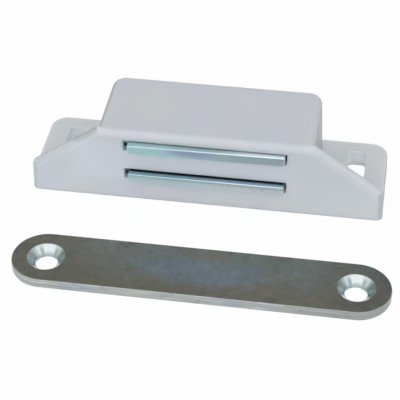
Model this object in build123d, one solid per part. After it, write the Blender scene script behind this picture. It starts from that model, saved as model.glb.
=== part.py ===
from build123d import *
import math
import os

# Magnetic catch for a cupboard door.
# The moulded housing is screwed to the cupboard by its two ears, and holds a loose magnet
# pack whose steel pole plates stand out of two slots in the front wall.
# The strike plate, which is screwed to the door, lies flat in front of it.
# All sizes are in millimetres. +X is along the catch, -Y is out of its front, +Z is up.
# The origin is on the mounting face, midway between the two ear slots.

# Housing, outside
housing_length = 68.55
housing_depth = 19.45
housing_height = 15.85
body_length = 42.85
body_back_inset = 0.3
draft_angle = 2.75
front_wall = 1.7
side_wall = 1.6
back_wall = 1.7
top_wall = 1.8
body_corner_radius = 3.3
body_top_radius = 1.4
front_edge_radius = 1.3

# Housing, front wall with its two sloping wings
wing_end_height = 6.35
wing_corner_radius = 1.5
wing_top_radius = 1.2
wing_back_radius = 0.3

# Housing, ears
ear_thickness = 3.4
ear_corner_radius = 3.3
ear_edge_radius = 0.25
ear_slot_width = 3.5
ear_slot_length = 8.0
ear_slot_corner_radius = 0.95
ear_slot_from_end = 6.0
ear_slot_from_back = 3.15

# Housing, hooks that hold the pack in from below
hook_spacing = 18.0
hook_width = 3.0
hook_reach = 0.6
hook_nose_height = 1.2
hook_gap = 0.35

# Magnet pack
pole_front_width = 30.0
pole_thickness = 2.0
pole_reach = 1.25
pole_corner_radius = 0.4
pole_edge_radius = 0.25
magnet_height = 5.0
magnet_inset = 0.9
magnet_corner_radius = 0.5

# Play of the pack in the housing, and how each of its pieces lies askew in it, in degrees
pack_top_play = 0.1
pack_foot_play = 0.15
pack_side_play = 0.85
pack_end_play = 0.7
slot_height_play = 0.5
shoulder_gap = 0.45
assembly_play = 0.3
upper_plate_skew = 0.8
magnet_skew = 0.5
lower_plate_skew = 0.2
pack_shift = 0.3

# Strike plate
strike_length = 70.0
strike_width = 12.65
strike_thickness = 2.0
strike_hole_diameter = 4.2
strike_hole_land = 0.55
strike_hole_from_end = 6.4
strike_edge_radius = 0.25
strike_gap = 14.6
strike_shift = 2.25

# How far a cutting block runs past the faces that it cuts
overcut = 1.0

# Places that follow from the sizes
back_y = ear_slot_from_back + ear_slot_length / 2
front_y = back_y - housing_depth
body_back_y = back_y - body_back_inset
inner_front_y = front_y + front_wall
inner_back_y = body_back_y - back_wall
ear_slot_x = housing_length / 2 - ear_slot_from_end
ceiling_z = housing_height - top_wall
draft_at_top = housing_height * math.tan(math.radians(draft_angle))
draft_at_ceiling = ceiling_z * math.tan(math.radians(draft_angle))
draft_at_wing_end = wing_end_height * math.tan(math.radians(draft_angle))
body_top_length = body_length - 2 * draft_at_top
cavity_length = body_length - 2 * side_wall
cavity_top_length = cavity_length - 2 * draft_at_ceiling
cavity_top_depth = inner_back_y - draft_at_ceiling - inner_front_y

# The pack hangs close under the ceiling: pole plate, magnet, pole plate.
upper_pole_z = ceiling_z - pack_top_play - pole_thickness
magnet_z = upper_pole_z - magnet_height
lower_pole_z = magnet_z - pole_thickness
pole_front_y = front_y - pole_reach
pole_shoulder_y = inner_front_y + shoulder_gap
pole_depth = cavity_top_depth - assembly_play
pole_back_y = pole_front_y + pole_depth
pole_width = cavity_top_length - 2 * pack_side_play
pack_pivot_y = (pole_shoulder_y + pole_back_y) / 2

front_slot_length = pole_front_width + 2 * pack_end_play
front_slot_height = pole_thickness + slot_height_play
upper_slot_z = ceiling_z - front_slot_height
lower_slot_z = lower_pole_z - pack_foot_play

strike_y = front_y - strike_gap - strike_width / 2


def upright_plane(y):
    """Upright drawing plane at y, with X to the right, Z up and its normal out of the front."""
    return Plane.XZ.offset(-y)


def block(x_range, y_range, z_range):
    """Plain block between two values on each axis."""
    size = [high - low for low, high in (x_range, y_range, z_range)]
    low_corner = Pos(x_range[0], y_range[0], z_range[0])
    return low_corner * Box(*size, align=(Align.MIN, Align.MIN, Align.MIN))


def drafted_block(length, start_y, end_y, corner_radius, height):
    """Block that narrows upwards by the draft angle on its ends and back.

    It comes with the spare block that leaves its front upright once it is cut off.
    """
    lean = height * math.tan(math.radians(draft_angle))
    spare = lean + corner_radius + overcut
    depth = end_y - start_y + spare
    outline = Pos(0, end_y - depth / 2) * RectangleRounded(length, depth, corner_radius)
    solid = extrude(outline, amount=height, taper=draft_angle)
    spare_front = block(
        (-length, length), (start_y - spare - overcut, start_y), (-overcut, height + overcut)
    )
    return solid, spare_front


def make_body():
    """Drafted box that covers the pack, with soft top edges and soft upright back corners."""
    solid, spare_front = drafted_block(
        body_length, front_y + front_edge_radius, body_back_y, body_corner_radius, housing_height
    )
    solid = fillet(solid.faces().sort_by(Axis.Z)[-1].edges(), body_top_radius)
    return solid - spare_front


def make_front_wall():
    """Front wall over the whole length, with a wing that slopes down to each ear's end."""
    foot_x = housing_length / 2
    end_x = foot_x - draft_at_wing_end
    slope_x = body_top_length / 2
    with BuildSketch(upright_plane(inner_front_y)) as profile:
        Polygon(
            (-foot_x, 0),
            (foot_x, 0),
            (end_x, wing_end_height),
            (slope_x, housing_height),
            (-slope_x, housing_height),
            (-end_x, wing_end_height),
            align=None,
        )
        foot_corners, wing_corners, top_corners = profile.vertices().group_by(Axis.Y)
        fillet(wing_corners, wing_corner_radius)
        fillet(top_corners, wing_top_radius)
    wall = extrude(profile.sketch, amount=front_wall)
    front_edges = wall.faces().sort_by(Axis.Y)[0].edges()
    wall = fillet(front_edges.sort_by(Axis.Z)[1:], front_edge_radius)
    back_edges = wall.faces().sort_by(Axis.Y)[-1].edges()
    return fillet(back_edges.sort_by(Axis.Z)[1:], wing_back_radius)


def make_ears():
    """Flat plate under the whole housing that ends in the two slotted screw ears."""
    solid, spare_front = drafted_block(
        housing_length, front_y + front_edge_radius, back_y, ear_corner_radius, ear_thickness
    )
    solid = fillet(solid.faces().sort_by(Axis.Z)[-1].edges(), ear_edge_radius)
    plate = solid - spare_front
    slot = RectangleRounded(ear_slot_width, ear_slot_length, ear_slot_corner_radius)
    for side in (-1, 1):
        plate -= extrude(Pos(side * ear_slot_x, 0) * slot, amount=ear_thickness)
    return plate


def make_cavity():
    """Space for the pack, open at the underside, with the same draft as the outside."""
    inner_radius = body_corner_radius - side_wall
    solid, spare_front = drafted_block(
        cavity_length, inner_front_y, inner_back_y, inner_radius, ceiling_z
    )
    return solid - spare_front


def make_hook(x):
    """Rib on the back wall whose nose catches under the back edge of the lower pole plate."""
    rib_y = pole_back_y + hook_gap
    nose_y = pole_back_y - hook_reach
    nose_top_z = lower_slot_z
    nose_foot_z = nose_top_z - hook_nose_height
    rib_foot_z = nose_foot_z - (rib_y - nose_y)
    wall_y = inner_back_y + back_wall / 2 - draft_at_ceiling
    profile = Plane.YZ.offset(x - hook_width / 2) * Polygon(
        (wall_y, rib_foot_z),
        (rib_y, rib_foot_z),
        (nose_y, nose_foot_z),
        (nose_y, nose_top_z),
        (rib_y, nose_top_z),
        (rib_y, ceiling_z + top_wall / 2),
        (wall_y, ceiling_z + top_wall / 2),
        align=None,
    )
    return extrude(profile, amount=hook_width)


def make_housing():
    """Housing, moulded in one piece: body, front wall, ears, cavity, front slots and hooks."""
    housing = make_body() + make_front_wall() + make_ears() - make_cavity()
    slot_x = (-front_slot_length / 2, front_slot_length / 2)
    slot_y = (front_y - overcut, inner_front_y + overcut)
    for foot_z in (lower_slot_z, upper_slot_z):
        housing -= block(slot_x, slot_y, (foot_z, foot_z + front_slot_height))
    for side in (-1, 1):
        housing += make_hook(side * hook_spacing / 2)
    return housing


def as_it_lies(piece, skew):
    """Puts a piece of the loose pack as it lies in its play, turned about the pack's middle."""
    turned = Rot(0, 0, skew) * Pos(0, -pack_pivot_y, 0) * piece
    return Pos(pack_shift, pack_pivot_y, 0) * turned


def make_pole_plate(foot_z):
    """Steel pole plate: a narrower front end for the slot, and shoulders behind the front wall."""
    front_half = pole_front_width / 2
    half = pole_width / 2
    with BuildSketch(Plane.XY.offset(foot_z)) as outline:
        Polygon(
            (-front_half, pole_front_y),
            (front_half, pole_front_y),
            (front_half, pole_shoulder_y),
            (half, pole_shoulder_y),
            (half, pole_back_y),
            (-half, pole_back_y),
            (-half, pole_shoulder_y),
            (-front_half, pole_shoulder_y),
            align=None,
        )
        ends = outline.vertices().group_by(Axis.Y)
        fillet(ends[0] + ends[-1], pole_corner_radius)
    plate = extrude(outline.sketch, amount=pole_thickness)
    front_face = plate.faces().filter_by(Plane.XZ).sort_by(Axis.Y)[0]
    rims = front_face.edges().filter_by(Axis.X)
    return fillet(rims, pole_edge_radius)


def make_magnet():
    """Ferrite block between the pole plates, set in a little from their edges."""
    x = pole_width / 2 - magnet_inset
    y_range = (pole_shoulder_y + magnet_inset, pole_back_y - magnet_inset)
    magnet = block((-x, x), y_range, (magnet_z, magnet_z + magnet_height))
    return fillet(magnet.edges().filter_by(Axis.Z), magnet_corner_radius)


def make_strike_plate():
    """Flat steel plate with round ends and two countersunk holes, which the poles pull on."""
    outline = SlotOverall(strike_length, strike_width)
    plate = extrude(outline, amount=strike_thickness)
    rims = plate.faces().sort_by(Axis.Z)[0].edges() + plate.faces().sort_by(Axis.Z)[-1].edges()
    plate = fillet(rims, strike_edge_radius)
    hole_radius = strike_hole_diameter / 2
    sink_depth = strike_thickness - strike_hole_land
    hole = Cylinder(hole_radius, strike_thickness, align=(Align.CENTER, Align.CENTER, Align.MIN))
    sink = Cone(
        hole_radius, hole_radius + sink_depth, sink_depth, align=(Align.CENTER, Align.CENTER, Align.MIN)
    )
    for side in (-1, 1):
        hole_x = side * (strike_length / 2 - strike_hole_from_end)
        plate -= Pos(hole_x, 0, 0) * hole
        plate -= Pos(hole_x, 0, strike_hole_land) * sink
    return Pos(strike_shift, strike_y, 0) * plate


pieces = {
    "housing": make_housing(),
    "upper_pole_plate": as_it_lies(make_pole_plate(upper_pole_z), upper_plate_skew),
    "magnet": as_it_lies(make_magnet(), magnet_skew),
    "lower_pole_plate": as_it_lies(make_pole_plate(lower_pole_z), lower_plate_skew),
    "strike_plate": make_strike_plate(),
}

os.makedirs("parts", exist_ok=True)
for node, shape in pieces.items():
    export_step(shape, f"parts/{node}.step")
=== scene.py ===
import math

import bpy
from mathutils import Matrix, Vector

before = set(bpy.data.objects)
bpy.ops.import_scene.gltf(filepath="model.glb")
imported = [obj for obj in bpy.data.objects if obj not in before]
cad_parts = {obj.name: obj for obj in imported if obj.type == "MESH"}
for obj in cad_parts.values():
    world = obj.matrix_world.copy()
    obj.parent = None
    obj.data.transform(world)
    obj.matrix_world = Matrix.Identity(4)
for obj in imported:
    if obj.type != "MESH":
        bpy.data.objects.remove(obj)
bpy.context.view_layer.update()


# Housing
# One injection moulding in pale grey plastic, with a satin skin from the spark-eroded mould.
# Two screws through the slotted ears hold it to the cupboard.

def start_finish(name):
    """A new material, with its shader and the object coordinates that its patterns use."""
    finish = bpy.data.materials.new(name)
    finish.use_nodes = True
    tree = finish.node_tree
    shader = tree.nodes["Principled BSDF"]
    place = tree.nodes.new("ShaderNodeTexCoord").outputs["Object"]
    return finish, tree, shader, place


def stretched(tree, place, stretch, turn=0.0):
    """The same coordinates, with patterns drawn out along an axis where stretch is under 1."""
    mapping = tree.nodes.new("ShaderNodeMapping")
    mapping.inputs["Scale"].default_value = stretch
    mapping.inputs["Rotation"].default_value = (0, 0, turn)
    tree.links.new(place, mapping.inputs["Vector"])
    return mapping.outputs["Vector"]


def mottle(tree, place, patch, detail=2.0, roughness=0.5):
    """Cloudy pattern from 0 to 1 whose patches are about patch metres across."""
    noise = tree.nodes.new("ShaderNodeTexNoise")
    noise.inputs["Scale"].default_value = 1 / patch
    noise.inputs["Detail"].default_value = detail
    noise.inputs["Roughness"].default_value = roughness
    tree.links.new(place, noise.inputs["Vector"])
    return noise.outputs["Fac"]


def spread(tree, value, start, end, low=0.0, high=1.0):
    """Turns start to end of a pattern into low to high, and holds it outside them."""
    node = tree.nodes.new("ShaderNodeMapRange")
    node.interpolation_type = "SMOOTHSTEP"
    limits = {"From Min": start, "From Max": end, "To Min": low, "To Max": high}
    for name, number in limits.items():
        node.inputs[name].default_value = number
    tree.links.new(value, node.inputs["Value"])
    return node.outputs["Result"]


def mixed_colour(tree, amount, first, second):
    """First colour where amount is 0 and second where it is 1. Either may be a pattern."""
    node = tree.nodes.new("ShaderNodeMix")
    node.data_type = "RGBA"
    tree.links.new(amount, node.inputs["Factor"])
    for socket, colour in ((node.inputs[6], first), (node.inputs[7], second)):
        if isinstance(colour, tuple):
            socket.default_value = (*colour, 1)
        else:
            tree.links.new(colour, socket)
    return node.outputs[2]


def painted_over(tree, colour, coats):
    """A colour with coats laid over it in turn, each where its own pattern is 1."""
    for amount, coat in coats:
        colour = mixed_colour(tree, amount, colour, coat)
    return colour


def add_bump(tree, shader, height, depth):
    """Raises the surface by up to depth metres where the pattern is high."""
    node = tree.nodes.new("ShaderNodeBump")
    node.inputs["Distance"].default_value = depth
    tree.links.new(height, node.inputs["Height"])
    tree.links.new(node.outputs["Normal"], shader.inputs["Normal"])


def axes(tree, vector):
    """The X, Y and Z of a vector, each as a pattern of its own."""
    split = tree.nodes.new("ShaderNodeSeparateXYZ")
    tree.links.new(vector, split.inputs["Vector"])
    return split.outputs["X"], split.outputs["Y"], split.outputs["Z"]


def surface_direction(tree):
    """The way the surface faces, as its X, Y and Z shares."""
    return axes(tree, tree.nodes.new("ShaderNodeTexCoord").outputs["Normal"])


def combined(tree, operation, *values):
    """Patterns and numbers joined by one kind of sum, from left to right."""
    result = values[0]
    for value in values[1:] or (None,):
        node = tree.nodes.new("ShaderNodeMath")
        node.operation = operation
        for socket, part in ((node.inputs[0], result), (node.inputs[1], value)):
            if isinstance(part, (int, float)):
                socket.default_value = part
            elif part is not None:
                tree.links.new(part, socket)
        result = node.outputs["Value"]
    return result


def size_of(tree, value):
    """A pattern without its sign, so that left and right count alike."""
    return combined(tree, "ABSOLUTE", value)


def overlap(tree, *patterns):
    """High only where every one of the patterns is high."""
    return combined(tree, "MULTIPLY", *patterns)


def either(tree, *patterns):
    """As high as the highest of the patterns."""
    return combined(tree, "MAXIMUM", *patterns)


def within(tree, value, low, high, soft):
    """1 between two limits and 0 outside them, with edges as wide as soft."""
    return overlap(
        tree,
        spread(tree, value, low - soft, low),
        spread(tree, value, high, high + soft, 1.0, 0.0),
    )


def moulded_plastic():
    """Pale plastic with painted light on ears, slots and front, and painted shade on sides and
    edges.

    Places are in metres in the part's own frame: -Y is the front and Z the height."""
    finish, tree, shader, place = start_finish("pale_moulded_plastic")
    cool = (0.57, 0.595, 0.65)
    neutral = (0.58, 0.612, 0.63)
    painted_light_front = (0.61, 0.65, 0.71)
    ear_light_far = (0.64, 0.67, 0.69)
    ear_light_near_body = (0.73, 0.765, 0.785)
    lit_slot = (0.93, 0.965, 0.98)
    painted_light_slot_mouth = (0.78, 0.82, 0.85)
    painted_side_shade = (0.44, 0.495, 0.51)
    painted_edge_shade = (0.38, 0.41, 0.43)
    anywhere_below = -1
    body_side = 0.0215
    left_end = -0.0343
    wall_back = -0.0105

    along, inwards, height = axes(tree, place)
    beside = size_of(tree, along)
    facing_x, facing_y, facing_z = surface_direction(tree)
    sideways = size_of(tree, facing_x)

    clouds = mottle(tree, place, patch=0.012, detail=3)
    base = mixed_colour(tree, spread(tree, clouds, 0.35, 0.65), cool, neutral)

    # Painted light: the front face around the pole slots is lighter and bluer, against the
    # shade that the pole plates cast on it.
    around_slots = overlap(
        tree,
        spread(tree, facing_y, -0.9, -0.7, 1.0, 0.0),
        within(tree, along, -0.023, 0.014, soft=0.006),
        within(tree, height, 0.006, 0.012, soft=0.003),
    )
    # Painted shade: the left end of the wing and the sides of the body are darker, where less
    # light falls on them.
    wing_end = overlap(
        tree,
        spread(tree, facing_y, -0.9, -0.5, 1.0, 0.0),
        spread(tree, along, left_end, left_end + 0.0028, 0.3, 0.0),
    )
    side = overlap(
        tree,
        spread(tree, sideways, 0.1, 0.6),
        spread(tree, facing_z, 0.3, 0.6, 1.0, 0.0),
    )

    # Painted light: the ear tops are lighter than the rest of the plastic, most of all beside
    # the body, against the shade of the body and wings.
    ear_top = overlap(
        tree,
        spread(tree, facing_z, 0.8, 0.95),
        within(tree, height, 0.002, 0.005, soft=0.0005),
    )
    painted_ear_light = mixed_colour(
        tree, spread(tree, beside, body_side, body_side + 0.006), ear_light_near_body, ear_light_far
    )

    # Painted shade: dark lines along the ear edges, the back and left top edges of the body
    # and the tops of the wings, mostly on the left wing.
    ear_edge = within(tree, height, 0.003, 0.0036, soft=0.0001)
    back_top_edge = overlap(
        tree,
        spread(tree, height, 0.0125, 0.0135),
        spread(tree, facing_y, 0.1, 0.4),
    )
    outer_edge = overlap(
        tree,
        within(tree, facing_z, 0.2, 0.65, soft=0.2),
        either(tree, ear_edge, back_top_edge),
    )
    left_edge = overlap(
        tree,
        spread(tree, facing_x, -0.6, -0.2, 0.75, 0.0),
        spread(tree, height, 0.012, 0.013),
    )

    wing_top = overlap(
        tree,
        spread(tree, beside, body_side - 0.001, body_side),
        spread(tree, height, 0.0036, 0.0037),
        spread(tree, facing_z, 0.2, 0.4),
    )
    left_wing = spread(tree, along, -0.02, 0.02, 0.22, 0.0)
    back_ridge = overlap(
        tree,
        within(tree, inwards, wall_back - 0.0006, wall_back, soft=0.00015),
        spread(tree, along, -0.02, 0.02, 0.8, 0.2),
    )
    wing_shade = overlap(tree, wing_top, either(tree, left_wing, back_ridge))

    # Painted light: the walls of the ear slots and the ends of the pole slots are nearly
    # white, a little less towards the ear tops, in place of light passing through the plastic.
    ear_slot = overlap(
        tree,
        spread(tree, size_of(tree, facing_z), 0.6, 0.9, 1.0, 0.0),
        within(tree, beside, 0.0235, 0.0315, soft=0.0005),
        within(tree, inwards, -0.0055, 0.0055, soft=0.0005),
    )
    pole_slot = overlap(
        tree,
        spread(tree, sideways, 0.4, 0.7),
        within(tree, beside, anywhere_below, 0.019, soft=0.0005),
        within(tree, inwards, anywhere_below, wall_back - 0.0002, soft=0.0002),
    )
    painted_slot_light = painted_over(tree, lit_slot, (
        (spread(tree, height, 0.001, 0.0035), painted_light_slot_mouth),
        (pole_slot, lit_slot),
    ))

    colour = painted_over(tree, base, (
        (around_slots, painted_light_front),
        (wing_end, painted_side_shade),
        (side, painted_side_shade),
        (ear_top, painted_ear_light),
        (outer_edge, painted_edge_shade),
        (left_edge, painted_edge_shade),
        (wing_shade, painted_edge_shade),
        (either(tree, ear_slot, pole_slot), painted_slot_light),
    ))
    tree.links.new(colour, shader.inputs["Base Color"])
    skin = mottle(tree, place, patch=0.004, detail=4)
    tree.links.new(spread(tree, skin, 0.3, 0.7, 0.42, 0.55), shader.inputs["Roughness"])
    shader.inputs["IOR"].default_value = 1.49
    shader.inputs["Specular IOR Level"].default_value = 0.3
    shader.inputs["Subsurface Weight"].default_value = 0.6
    shader.inputs["Subsurface Radius"].default_value = (1.0, 0.95, 0.9)
    shader.inputs["Subsurface Scale"].default_value = 0.0018
    grain = mottle(tree, place, patch=0.00018, detail=2)
    add_bump(tree, shader, grain, depth=0.000006)
    return finish


def finish_node(node, finish):
    """Puts a finish on a solid from the frame, in place of its plain one."""
    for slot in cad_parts[node].material_slots:
        slot.material = finish


finish_node("housing", moulded_plastic())


# Pole plates
# Two zinc-plated steel stampings that carry the magnet's pull out through the front slots.
# Their front edges carry a painted highlight, above the duller sheared faces.

def zinc_plated_pole():
    """Bluish plating that changes from left to right, with painted reflection on tops and
    faces.
    """
    finish, tree, shader, place = start_finish("zinc_plated_pole")
    # Painted reflection: the tops and faces of the upper and lower plate have colour ends of
    # their own, for what each surface mirrors.
    upper_top_ends = ((0.43, 0.63, 0.65), (0.76, 0.85, 0.91))
    upper_face_ends = ((0.48, 0.73, 0.78), (0.4, 0.49, 0.53))
    lower_top_ends = ((0.29, 0.48, 0.56), (0.37, 0.5, 0.65))
    lower_face_ends = ((0.42, 0.55, 0.59), (0.5, 0.56, 0.61))
    highlight_ends = ((0.5, 0.64, 0.67), (0.76, 0.88, 0.92))
    violet = (0.38, 0.45, 0.62)
    sheared = (0.27, 0.33, 0.34)
    shaded = (0.02, 0.035, 0.045)
    lower_foot = 0.00495
    plate_spacing = 0.007
    between_plates = (0.0094, 0.0096)
    housing_front = -0.0123

    along, inwards, height = axes(tree, place)
    _, facing_y, facing_z = surface_direction(tree)
    bands = mottle(tree, stretched(tree, place, (0.3, 1, 1)), patch=0.004, detail=3)
    wander = combined(tree, "MULTIPLY", combined(tree, "SUBTRACT", bands, 0.5), 0.01)
    drift = combined(tree, "ADD", along, wander)
    towards_right = spread(tree, drift, -0.008, 0.009)
    top = spread(tree, facing_z, 0.78, 0.92)

    wavy_height = combined(tree, "ADD", height, combined(tree, "MULTIPLY", bands, 0.0012))
    stained = overlap(
        tree,
        within(tree, drift, -0.0035, 0.0, soft=0.005),
        spread(tree, wavy_height, 0.0128, 0.0136, 0.3, 0.9),
    )
    upper_face = mixed_colour(tree, towards_right, *upper_face_ends)
    upper_face = mixed_colour(tree, stained, upper_face, violet)
    # The upper plate's top is a little darker and more teal around its middle.
    darker_middle = combined(tree, "MULTIPLY", within(tree, drift, -0.003, 0.003, soft=0.005), 0.18)
    upper_top = mixed_colour(tree, spread(tree, drift, 0.0, 0.011), *upper_top_ends)
    upper_top = mixed_colour(tree, darker_middle, upper_top, sheared)

    above_foot = combined(
        tree, "MODULO", combined(tree, "SUBTRACT", height, lower_foot), plate_spacing
    )
    under_edge = overlap(
        tree,
        spread(tree, above_foot, 0.0009, 0.0016, 0.0, 0.6),
        spread(tree, drift, -0.022, -0.006),
    )
    shear_marks = mottle(
        tree, stretched(tree, place, (1, 0.5, 0.5)), patch=0.0004, detail=4, roughness=0.7
    )
    marked = overlap(
        tree,
        spread(tree, shear_marks, 0.45, 0.62, 0.0, 0.8),
        spread(tree, drift, -0.002, 0.008, 0.15, 1.0),
        spread(tree, above_foot, 0.0002, 0.0013, 0.15, 1.0),
    )
    lower_face = mixed_colour(tree, towards_right, *lower_face_ends)
    lower_face = mixed_colour(tree, either(tree, under_edge, marked), lower_face, sheared)
    lower_top = mixed_colour(tree, towards_right, *lower_top_ends)

    # Painted shade: the tops turn nearly black where they run into the housing's slots, fully
    # on the lower plate and about half on the upper.
    in_slot = overlap(
        tree,
        top,
        spread(tree, inwards, housing_front - 0.00065, housing_front),
        spread(tree, height, *between_plates, 1.0, 0.45),
    )
    # Painted highlight: a bright line along the rounded front top edge of each plate.
    painted_highlight_edge = overlap(
        tree,
        spread(tree, facing_z, 0.3, 0.5),
        spread(tree, facing_z, 0.75, 0.88, 1.0, 0.0),
        spread(tree, facing_y, -0.4, -0.2, 1.0, 0.0),
    )
    colour = mixed_colour(
        tree,
        spread(tree, height, *between_plates),
        mixed_colour(tree, top, lower_face, lower_top),
        mixed_colour(tree, top, upper_face, upper_top),
    )
    colour = painted_over(tree, colour, (
        (in_slot, shaded),
        (painted_highlight_edge, mixed_colour(tree, towards_right, *highlight_ends)),
    ))
    tree.links.new(colour, shader.inputs["Base Color"])
    shader.inputs["Metallic"].default_value = 0.75
    drawn = mottle(tree, stretched(tree, place, (0.02, 1, 1)), patch=0.0003, detail=3)
    tree.links.new(spread(tree, drawn, 0.3, 0.7, 0.3, 0.45), shader.inputs["Roughness"])
    add_bump(tree, shader, drawn, depth=0.000004)
    return finish


pole_zinc = zinc_plated_pole()
for plate in ("upper_pole_plate", "lower_pole_plate"):
    finish_node(plate, pole_zinc)


# Magnet
# Sintered ferrite block, dull and nearly black, which the two pole plates hold between them.
# It shows only from below, through the open underside of the housing.

def sintered_ferrite():
    finish, tree, shader, place = start_finish("sintered_ferrite")
    dark = (0.028, 0.028, 0.03)
    dusty = (0.06, 0.06, 0.064)
    dust = mottle(tree, place, patch=0.0025, detail=5)
    colour = mixed_colour(tree, spread(tree, dust, 0.4, 0.7), dark, dusty)
    tree.links.new(colour, shader.inputs["Base Color"])
    shader.inputs["Roughness"].default_value = 0.7
    pores = mottle(tree, place, patch=0.0003, detail=4, roughness=0.7)
    add_bump(tree, shader, pores, depth=0.00002)
    return finish


finish_node("magnet", sintered_ferrite())


# Strike plate
# Zinc-plated steel blanked from strip, with dull stained faces, a brighter rim drawn in fine
# lines, and two bright countersinks for the screws that hold it to the door.

def vector_sum(tree, operation, first, second=None):
    """One kind of sum on one or two vectors. It gives a vector, or a length as a pattern."""
    node = tree.nodes.new("ShaderNodeVectorMath")
    node.operation = operation
    for socket, part in ((node.inputs[0], first), (node.inputs[1], second)):
        if isinstance(part, (tuple, Vector)):
            socket.default_value = part
        elif part is not None:
            tree.links.new(part, socket)
    return node.outputs["Value" if operation in ("LENGTH", "DOT_PRODUCT") else "Vector"]


def strike_distances(tree, centred, hole_pitch, length, width):
    """The distance inwards from the plate's outline, and the distance from the nearer hole."""
    in_plan = (1, 1, 0)
    folded = vector_sum(tree, "ABSOLUTE", centred)
    from_hole = vector_sum(tree, "SUBTRACT", folded, (hole_pitch / 2, 0, 0))
    hole_distance = vector_sum(
        tree, "LENGTH", vector_sum(tree, "MULTIPLY", from_hole, in_plan)
    )
    past_spine = vector_sum(tree, "SUBTRACT", folded, ((length - width) / 2, 0, 0))
    from_spine = vector_sum(tree, "MAXIMUM", past_spine, (0, 0, 0))
    spine_distance = vector_sum(
        tree, "LENGTH", vector_sum(tree, "MULTIPLY", from_spine, in_plan)
    )
    return combined(tree, "SUBTRACT", width / 2, spine_distance), hole_distance


def stained_face(tree, centred, inwards):
    """Passivated strip with a bluish film in its middle, dirt, chips and faint scratches."""
    olive = (0.21, 0.215, 0.175)
    brown = (0.23, 0.22, 0.185)
    green_grey = (0.21, 0.245, 0.23)
    slate = (0.22, 0.28, 0.315)
    pale_film = (0.28, 0.345, 0.4)
    soot = (0.14, 0.15, 0.135)
    speck = (0.34, 0.375, 0.355)
    along, across, _ = axes(tree, centred)

    stains = mottle(tree, centred, patch=0.006, detail=5, roughness=0.6)
    stains = combined(tree, "ADD", combined(tree, "MULTIPLY", stains, 0.012), across)
    greened = overlap(
        tree,
        spread(tree, stains, 0.003, 0.009),
        spread(tree, along, -0.027, -0.015, 0.1, 1.0),
    )
    rust = mottle(
        tree, stretched(tree, centred, (0.6, 1, 1)), patch=0.005, detail=5, roughness=0.6
    )

    film = vector_sum(tree, "LENGTH", stretched(tree, centred, (0.27, 1, 0)))
    film_noise = mottle(tree, centred, patch=0.003, detail=5, roughness=0.65)
    film_edge = combined(
        tree, "SUBTRACT", film, combined(tree, "MULTIPLY", film_noise, 0.006)
    )
    film_core = mottle(
        tree, stretched(tree, centred, (0.7, 1, 1)), patch=0.0025, detail=4, roughness=0.6
    )
    pale = overlap(
        tree,
        spread(tree, film_core, 0.52, 0.68),
        spread(tree, film_edge, -0.0025, 0.0, 1.0, 0.0),
    )
    second_film = overlap(
        tree,
        within(tree, along, 0.011, 0.019, soft=0.003),
        within(tree, across, -0.001, 0.0015, soft=0.002),
        spread(tree, film_noise, 0.4, 0.6, 0.0, 0.8),
    )

    right_end = combined(tree, "MULTIPLY", spread(tree, along, 0.019, 0.03), 0.35)
    dirt = mottle(tree, centred, patch=0.0022, detail=5, roughness=0.7)
    soiled = overlap(
        tree,
        spread(tree, dirt, 0.5, 0.68, 0.0, 0.7),
        spread(tree, inwards, 0.0, 0.0035, 1.0, 0.35),
    )
    flakes = mottle(tree, centred, patch=0.0009, detail=3)
    chips = overlap(
        tree,
        spread(tree, flakes, 0.62, 0.74, 0.0, 0.7),
        spread(tree, inwards, 0.0006, 0.002, 1.0, 0.2),
        spread(tree, across, -0.003, 0.003, 0.4, 1.0),
    )
    fine = mottle(
        tree, stretched(tree, centred, (0.8, 1, 1)), patch=0.0011, detail=6, roughness=0.75
    )
    scratches = mottle(
        tree, stretched(tree, centred, (1, 0.12, 1), turn=0.5), patch=0.0005, detail=3
    )
    return painted_over(tree, olive, (
        (greened, green_grey),
        (spread(tree, rust, 0.52, 0.7), brown),
        (spread(tree, film_edge, -0.0015, 0.0015, 1.0, 0.0), slate),
        (pale, pale_film),
        (second_film, slate),
        (right_end, soot),
        (soiled, soot),
        (chips, speck),
        (spread(tree, fine, 0.5, 0.75, 0.0, 0.4), speck),
        (spread(tree, fine, 0.25, 0.5, 0.45, 0.0), soot),
        (spread(tree, scratches, 0.62, 0.74, 0.0, 0.14), speck),
    ))


def blanked_rim(tree, centred):
    """Rim from the blanking die: lined, nicked, and banded towards the plate's two ends."""
    rim_grey = (0.41, 0.44, 0.43)
    rim_blue = (0.36, 0.4, 0.45)
    rim_dark = (0.25, 0.265, 0.255)
    rim_light = (0.55, 0.59, 0.575)
    along, _, height = axes(tree, centred)
    tints = mottle(tree, centred, patch=0.005, detail=2)
    lines = mottle(tree, stretched(tree, centred, (0.06, 0.06, 1)), patch=0.0004, detail=3)
    nicks = mottle(tree, stretched(tree, centred, (0.5, 0.5, 1)), patch=0.0009, detail=3)
    wavy_height = combined(tree, "ADD", height, combined(tree, "MULTIPLY", tints, 0.0004))
    towards_ends = either(
        tree,
        spread(tree, along, -0.03, -0.018, 0.75, 0.1),
        spread(tree, along, 0.012, 0.028, 0.1, 0.35),
    )
    sheared_band = within(tree, wavy_height, 0.00115, 0.00125, soft=0.00015)
    burnished_band = within(tree, wavy_height, 0.0014, 0.0016, soft=0.00015)
    return painted_over(tree, rim_grey, (
        (spread(tree, tints, 0.5, 0.7), rim_blue),
        (spread(tree, lines, 0.5, 0.7), rim_light),
        (spread(tree, nicks, 0.6, 0.7, 0.0, 0.6), rim_dark),
        (overlap(tree, sheared_band, towards_ends), rim_dark),
        (overlap(tree, burnished_band, towards_ends), rim_light),
        (spread(tree, along, 0.014, 0.022, 0.0, 0.35), rim_dark),
    ))


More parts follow.
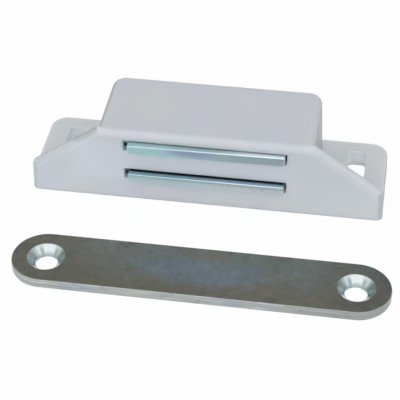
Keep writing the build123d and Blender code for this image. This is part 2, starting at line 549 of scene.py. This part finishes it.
def machined_sink(tree, centred, hole_pitch, hole_distance, facing_x):
    """Bright cone with painted reflection streaks around it, and painted shade on its two
    sides.
    """
    bright_zinc = (0.65, 0.71, 0.735)
    dark_zinc = (0.27, 0.34, 0.34)
    shaded_zinc = (0.275, 0.37, 0.34)
    along, across, _ = axes(tree, centred)
    nearer_hole = combined(tree, "MULTIPLY", combined(tree, "SIGN", along), hole_pitch / 2)
    from_hole = tree.nodes.new("ShaderNodeCombineXYZ")
    tree.links.new(combined(tree, "SUBTRACT", along, nearer_hole), from_hole.inputs["X"])
    tree.links.new(across, from_hole.inputs["Y"])
    around = vector_sum(tree, "NORMALIZE", from_hole.outputs["Vector"])
    sideways, backwards, _ = axes(tree, around)
    # Painted reflection: dark streaks on either side of the far wall and random light and dark
    # patches around the cone; the darker ring at its foot is the cone's own.
    painted_reflection_streaks = overlap(
        tree,
        within(tree, size_of(tree, sideways), 0.44, 0.56, soft=0.1),
        spread(tree, backwards, 0.1, 0.4, 0.0, 0.9),
        spread(tree, hole_distance, 0.0027, 0.0035, 1.0, 0.35),
    )
    foot = spread(tree, hole_distance, 0.0022, 0.0026, 0.6, 0.0)
    reflection_patches = spread(tree, mottle(tree, around, patch=0.3, detail=3), 0.5, 0.7, 0.0, 0.5)
    return painted_over(tree, bright_zinc, (
        (either(tree, painted_reflection_streaks, foot, reflection_patches), dark_zinc),
        # Painted shade on the cone's two side walls, deeper on the wall that faces left.
        (spread(tree, facing_x, 0.35, 0.68, 0.0, 0.4), shaded_zinc),
        (spread(tree, facing_x, -0.68, -0.35, 1.0, 0.0), shaded_zinc),
    ))


def zinc_plated_strike():
    """The face, the rim and the sinks of the strike plate, each where it lies.

    Its patterns take their places in metres from the middle of the plate's underside."""
    finish, tree, shader, place = start_finish("zinc_plated_strike")
    middle = (0.00225, -0.033225, 0)
    hole_pitch = 0.0572
    sink_radius = 0.0034
    centred = vector_sum(tree, "SUBTRACT", place, middle)
    inwards, hole_distance = strike_distances(
        tree, centred, hole_pitch, length=0.07, width=0.01265
    )
    facing_x, _, facing_z = surface_direction(tree)
    up = size_of(tree, facing_z)
    in_sink = overlap(
        tree,
        spread(tree, hole_distance, sink_radius, sink_radius + 0.0001, 1.0, 0.0),
        spread(tree, up, 0.9, 0.95, 1.0, 0.0),
    )
    colour = painted_over(tree, blanked_rim(tree, centred), (
        (spread(tree, up, 0.8, 0.97), stained_face(tree, centred, inwards)),
        (in_sink, machined_sink(tree, centred, hole_pitch, hole_distance, facing_x)),
    ))
    tree.links.new(colour, shader.inputs["Base Color"])
    shader.inputs["Metallic"].default_value = 0.9
    smears = mottle(
        tree, stretched(tree, centred, (0.4, 1, 1), turn=0.15), patch=0.003, detail=4
    )
    dull = spread(tree, smears, 0.3, 0.7, 0.36, 0.5)
    roughness = combined(tree, "SUBTRACT", dull, combined(tree, "MULTIPLY", in_sink, 0.2))
    tree.links.new(roughness, shader.inputs["Roughness"])
    pits = mottle(tree, centred, patch=0.0005, detail=3)
    add_bump(tree, shader, pits, depth=0.00001)
    return finish


finish_node("strike_plate", zinc_plated_strike())


# Floor, light and camera
# A white sheet under a large soft light above the front, in a room that is dimmer behind.
# The camera stands where the photograph was taken from.

floor_size = 6.0
floor_drop = 0.00005
bpy.ops.object.select_all(action="DESELECT")
bpy.ops.mesh.primitive_plane_add(size=floor_size, location=(0, 0, -floor_drop))
floor = bpy.context.object
floor.name = "floor"


def seen_ray(tree):
    """1 for rays that show the background itself, or its image in metal, and 0 for light."""
    rays = tree.nodes.new("ShaderNodeLightPath").outputs
    return either(
        tree, rays["Is Camera Ray"], rays["Is Glossy Ray"], rays["Is Transmission Ray"]
    )


def white_sheet():
    """Paper that looks almost pure white, except inside the housing, and takes shadows."""
    sheet = bpy.data.materials.new("white_sheet")
    sheet.use_nodes = True
    tree = sheet.node_tree
    tree.nodes.clear()
    seen_white = 0.94
    anywhere_below = -1
    diffuse = tree.nodes.new("ShaderNodeBsdfDiffuse")
    diffuse.inputs["Color"].default_value = (0.93, 0.93, 0.93, 1)
    glow = tree.nodes.new("ShaderNodeEmission")
    glow.inputs["Strength"].default_value = 1.0
    along, inwards, _ = axes(tree, tree.nodes.new("ShaderNodeTexCoord").outputs["Object"])
    under_housing = overlap(
        tree,
        within(tree, size_of(tree, along), anywhere_below, 0.0185, soft=0.001),
        within(tree, inwards, -0.0105, 0.0055, soft=0.001),
    )
    from_below = tree.nodes.new("ShaderNodeNewGeometry").outputs["Backfacing"]
    open_sheet = either(
        tree, combined(tree, "SUBTRACT", 1.0, under_housing), from_below
    )
    mix = tree.nodes.new("ShaderNodeMixShader")
    share = combined(tree, "MULTIPLY", seen_ray(tree), seen_white, open_sheet)
    tree.links.new(share, mix.inputs["Fac"])
    tree.links.new(diffuse.outputs["BSDF"], mix.inputs[1])
    tree.links.new(glow.outputs["Emission"], mix.inputs[2])
    output = tree.nodes.new("ShaderNodeOutputMaterial")
    tree.links.new(mix.outputs["Shader"], output.inputs["Surface"])
    return sheet


floor.data.materials.append(white_sheet())

room_level = 0.25
light_level = 1.55
towards_light = Vector((0.0, -0.72, 0.69)).normalized()
world = bpy.data.worlds.new("studio")
bpy.context.scene.world = world
world.use_nodes = True
sky = world.node_tree
sky.nodes.clear()
direction = sky.nodes.new("ShaderNodeTexCoord").outputs["Generated"]
facing_light = vector_sum(sky, "DOT_PRODUCT", direction, towards_light)
level = spread(sky, facing_light, -0.35, 0.8, room_level, light_level)
background = sky.nodes.new("ShaderNodeBackground")
sky.links.new(level, background.inputs["Strength"])
output = sky.nodes.new("ShaderNodeOutputWorld")
sky.links.new(background.outputs["Background"], output.inputs["Surface"])

camera = bpy.data.objects.new("camera", bpy.data.cameras.new("camera"))
bpy.context.scene.collection.objects.link(camera)
camera.location = (0.033619, -0.215801, 0.178581)
camera.rotation_euler = [math.radians(angle) for angle in (49.2924, 0.6934, 9.0345)]
camera.data.sensor_width = 36
camera.data.lens = 126.449
bpy.context.scene.camera = camera
bpy.context.scene.view_settings.view_transform = "Standard"
